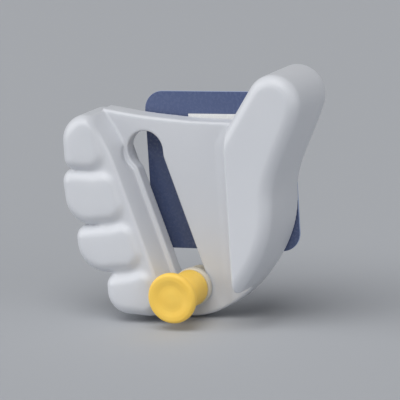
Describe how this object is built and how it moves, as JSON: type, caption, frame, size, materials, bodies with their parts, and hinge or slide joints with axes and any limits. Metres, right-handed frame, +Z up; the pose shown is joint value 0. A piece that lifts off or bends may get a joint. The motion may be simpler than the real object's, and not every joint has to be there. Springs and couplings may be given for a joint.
{
  "type": "mop holder",
  "caption": "Stick-on wall holder shaped like a hand with its thumb up; a roller sliding down a slanted slot wedges a mop or broom handle against the thumb.",
  "frame": {"origin": "middle of the pad's wall-side face", "axes": "+Y into the wall, so the front faces -Y; +Z up; +X to the thumb's side"},
  "size_m": [0.1089, 0.035, 0.1028],
  "materials": {
    "shell_plastic": "fine satin light grey moulding",
    "bush_plastic": "smooth cream moulding",
    "axle_plastic": "smooth cream moulding",
    "core_plastic": "smooth off-white moulding",
    "sleeve_rubber": "soft satin yellow elastomer",
    "pad_film": "clear bluish film",
    "pad_adhesive": "clear tacky gel",
    "foam_tape": "white foam tape"
  },
  "bodies": {
    "holder": {"hand_shell": "shell_plastic", "carrier_film": "pad_film", "wall_adhesive": "pad_adhesive", "bond_tape_top": "foam_tape", "bond_tape_left": "foam_tape", "bond_tape_right": "foam_tape"},
    "slider": {"slide_bush": "bush_plastic"},
    "roller": {"roller_axle": "axle_plastic", "roller_core": "core_plastic", "grip_sleeve": "sleeve_rubber"}
  },
  "joints": [
    {"name": "roller_slide", "type": "slide", "parent": "holder", "child": "slider", "axis": [-0.3107, 0, 0.9505], "range_m": [0, 0.0594]},
    {"name": "roller_spin", "type": "hinge", "parent": "slider", "child": "roller", "pos_m": [-0.0105, -0.02, -0.0455], "axis": [0, -1, 0], "continuous": true}
  ]
}
